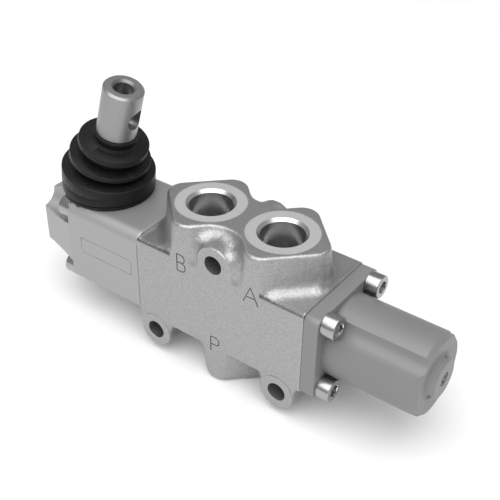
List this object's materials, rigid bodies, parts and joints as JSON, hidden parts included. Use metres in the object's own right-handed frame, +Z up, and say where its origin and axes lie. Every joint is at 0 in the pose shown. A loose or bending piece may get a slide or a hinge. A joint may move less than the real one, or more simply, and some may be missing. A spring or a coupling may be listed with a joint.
{
  "type": "monoblock control valve",
  "caption": "Cast hydraulic selector valve with a boot-sealed lever, a spring-return spool, two work ports on top, a pressure port underneath and three mounting holes",
  "frame": {"origin": "centre of the pressure port's mouth, on the underside of the cast block", "axes": "+X along the spool towards the spring cap, +Y from the front face to the back face, +Z up to the two work ports"},
  "size_m": [0.1968, 0.0444, 0.1135],
  "materials": {
    "cast_body": "fine sand-cast iron with a light grey phosphate coat",
    "housing_alloy": "smooth die-cast aluminium",
    "cap_alloy": "smooth dull die-cast aluminium",
    "plug_alloy": "dull turned aluminium",
    "lever_steel": "turned steel with a dull zinc coat",
    "zinc_steel": "bright zinc-plated steel",
    "steel": "ground and turned steel",
    "bronze": "plain bearing bronze",
    "seal_rubber": "nitrile rubber",
    "boot_rubber": "moulded satin black rubber"
  },
  "bodies": {
    "valve": {"valve_body": "cast_body", "spool_seal_lever_side": "seal_rubber", "spool_seal_cap_side": "seal_rubber", "seal_retainer_lever_side": "steel", "seal_retainer_cap_side": "steel", "spool_wiper": "seal_rubber", "lever_housing": "housing_alloy", "housing_screws": "zinc_steel", "housing_o_ring": "seal_rubber", "pivot_pin": "steel", "pivot_washers": "bronze", "lever_boot": "boot_rubber", "spring_cap": "cap_alloy", "cap_screws": "zinc_steel", "cap_o_ring": "seal_rubber", "return_spring": "steel", "outer_spring_seat": "steel", "vent_plug": "plug_alloy"},
    "lever": {"lever": "lever_steel", "pivot_bush": "bronze"},
    "spool": {"spool": "steel", "inner_spring_seat": "steel", "spool_end_screw": "steel"}
  },
  "joints": [
    {"name": "lever_tilt", "type": "hinge", "parent": "valve", "child": "lever", "pos_m": [-0.078, 0, 0.0593], "axis": [0, 1, 0], "range_deg": [-32, 0], "stiffness_Nm_per_rad": 2.5, "springref_deg": 20.63, "deforming": ["lever_boot"]},
    {"name": "spool_slide", "type": "slide", "parent": "valve", "child": "spool", "axis": [1, 0, 0], "range_m": [0, 0.01229], "deforming": ["return_spring"]}
  ],
  "couplings": [
    {"joint": "lever_tilt", "follows": "spool_slide", "rad_per_m": -45.43}
  ]
}
